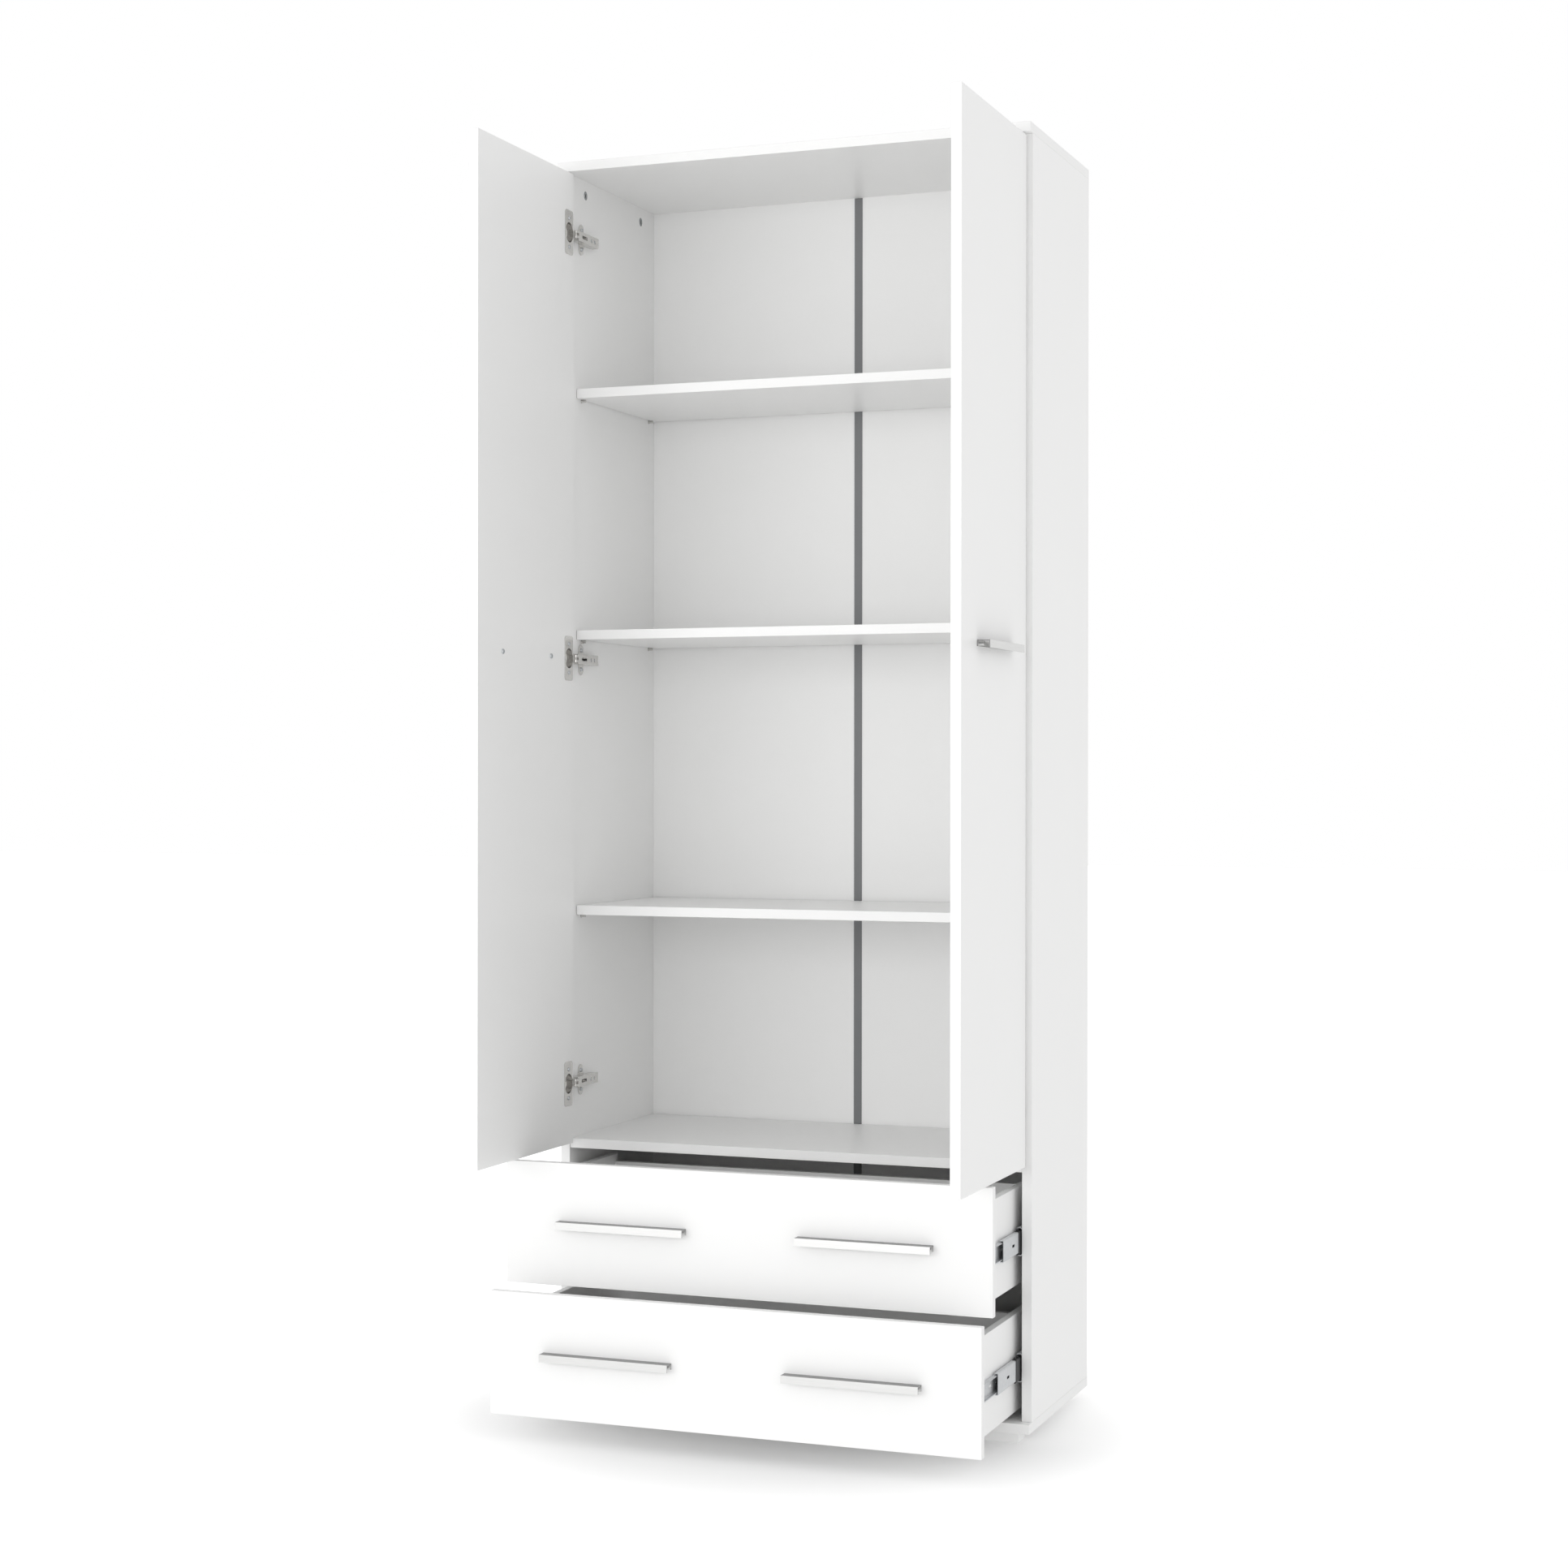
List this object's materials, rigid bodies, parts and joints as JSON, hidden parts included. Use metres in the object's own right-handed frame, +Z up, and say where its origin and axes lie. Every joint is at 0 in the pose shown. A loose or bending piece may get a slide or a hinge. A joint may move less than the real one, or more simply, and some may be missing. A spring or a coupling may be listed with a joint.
{
  "type": "wardrobe",
  "caption": "Tall white wardrobe with hinged doors over adjustable shelves and pull-out drawers on ball slides below, shown open.",
  "frame": {"origin": "on the floor, midway between the sides, in the plane of the side panels' front edges; it is also the bottom centre of the box around the wardrobe with its doors open", "axes": "+Z up, +X to the right of a person who faces the front, the front faces -Y"},
  "size_m": [0.822, 0.808, 2.075],
  "materials": {
    "white_melamine": "matt white melamine on chipboard",
    "hardboard": "white painted hardboard",
    "joint_strip": "matt dark grey",
    "nickel": "nickel plated",
    "zinc": "bright zinc plated",
    "beech": "plain beech",
    "cage_plastic": "black with steel balls",
    "satin_aluminium": "satin anodised"
  },
  "bodies": {
    "carcass": {"side_left": "white_melamine", "side_right": "white_melamine", "top_panel": "white_melamine", "bottom_panel": "white_melamine", "mid_floor": "white_melamine", "shelf_1": "white_melamine", "shelf_2": "white_melamine", "shelf_3": "white_melamine", "back_left": "hardboard", "back_right": "hardboard", "back_joint_strip": "joint_strip", "plinth_front": "white_melamine", "plinth_rear": "white_melamine", "shelf_pins": "nickel", "cam_locks": "nickel", "cam_bolts": "zinc", "dowels": "beech", "back_nails": "zinc", "hinge_plates": "nickel", "hinge_arms_left": "nickel", "hinge_arms_right": "nickel", "hinge_screws": "zinc", "slide_outer_1": "zinc", "slide_outer_2": "zinc", "slide_screws": "zinc"},
    "left_door": {"door_left": "white_melamine", "door_left_handle": "satin_aluminium", "door_left_cups": "nickel", "door_left_cup_screws": "zinc", "door_left_handle_screws": "zinc"},
    "right_door": {"door_right": "white_melamine", "door_right_handle": "satin_aluminium", "door_right_cups": "nickel", "door_right_cup_screws": "zinc", "door_right_handle_screws": "zinc"},
    "drawer_1": {"drawer_1_front": "white_melamine", "drawer_1_side_left": "white_melamine", "drawer_1_side_right": "white_melamine", "drawer_1_back": "white_melamine", "drawer_1_bottom": "hardboard", "drawer_1_handle_left": "satin_aluminium", "drawer_1_handle_right": "satin_aluminium", "drawer_1_handle_screws": "zinc", "drawer_1_slide_inner": "zinc", "drawer_1_fixings": "zinc"},
    "slide_middle_1": {"slide_middle_1": "zinc", "ball_cage_1": "cage_plastic"},
    "drawer_2": {"drawer_2_front": "white_melamine", "drawer_2_side_left": "white_melamine", "drawer_2_side_right": "white_melamine", "drawer_2_back": "white_melamine", "drawer_2_bottom": "hardboard", "drawer_2_handle_left": "satin_aluminium", "drawer_2_handle_right": "satin_aluminium", "drawer_2_handle_screws": "zinc", "drawer_2_slide_inner": "zinc", "drawer_2_fixings": "zinc"},
    "slide_middle_2": {"slide_middle_2": "zinc", "ball_cage_2": "cage_plastic"}
  },
  "joints": [
    {"name": "left_door_hinge", "type": "hinge", "parent": "carcass", "child": "left_door", "pos_m": [-0.389, -0.0165, 1.245], "axis": [0, 0, 1], "range_deg": [-15, 90]},
    {"name": "right_door_hinge", "type": "hinge", "parent": "carcass", "child": "right_door", "pos_m": [0.389, -0.0165, 1.245], "axis": [0, 0, 1], "range_deg": [-90, 15]},
    {"name": "drawer_1_slide", "type": "slide", "parent": "carcass", "child": "drawer_1", "axis": [0, -1, 0], "range_m": [-0.219, 0.131]},
    {"name": "slide_middle_1_slide", "type": "slide", "parent": "carcass", "child": "slide_middle_1", "axis": [0, -1, 0], "range_m": [-0.1095, 0.0655]},
    {"name": "drawer_2_slide", "type": "slide", "parent": "carcass", "child": "drawer_2", "axis": [0, -1, 0], "range_m": [-0.285, 0.065]},
    {"name": "slide_middle_2_slide", "type": "slide", "parent": "carcass", "child": "slide_middle_2", "axis": [0, -1, 0], "range_m": [-0.1425, 0.0325]}
  ],
  "couplings": [
    {"joint": "slide_middle_1_slide", "follows": "drawer_1_slide", "ratio": 0.5},
    {"joint": "slide_middle_2_slide", "follows": "drawer_2_slide", "ratio": 0.5}
  ]
}
